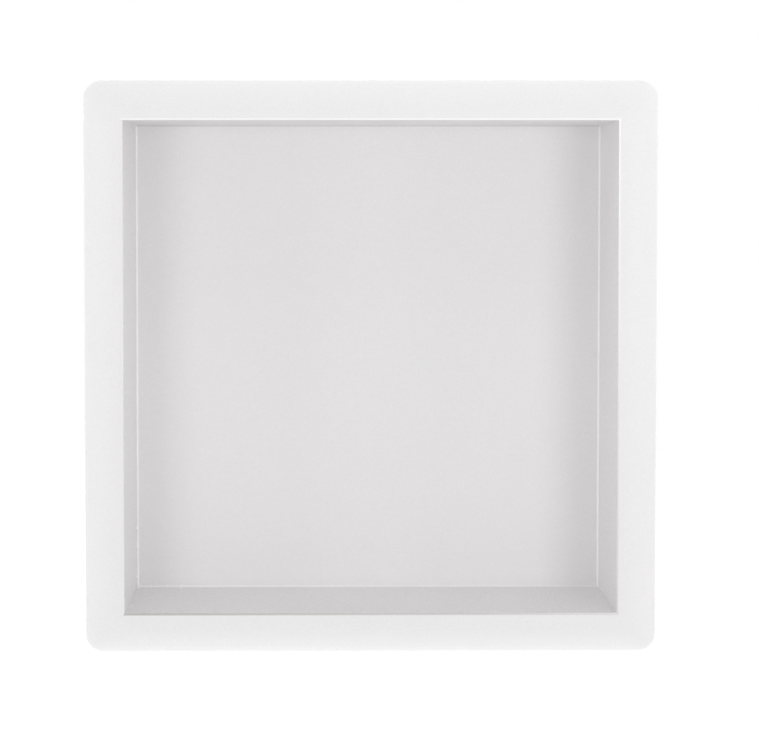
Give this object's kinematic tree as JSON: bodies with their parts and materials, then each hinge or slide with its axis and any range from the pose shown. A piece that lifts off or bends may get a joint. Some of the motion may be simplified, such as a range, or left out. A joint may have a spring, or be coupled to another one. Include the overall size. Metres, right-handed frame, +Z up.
{
  "type": "shower niche insert",
  "caption": "Square shower niche insert: a moulded open-fronted recess with straight walls, a flat back and a wide crowned frame with rounded corners that seats on the wall.",
  "frame": {"origin": "middle of the mouth, on the plane of the finished wall, which is the flat back of the frame", "axes": "looking into the niche, +X is to the right and +Z is up; +Y runs into the wall, so the mouth faces -Y"},
  "size_m": [0.348, 0.106, 0.348],
  "materials": {
    "white_casting": "satin white mineral-filled cast resin"
  },
  "bodies": {
    "root": {"niche_insert": "white_casting"}
  },
  "joints": []
}
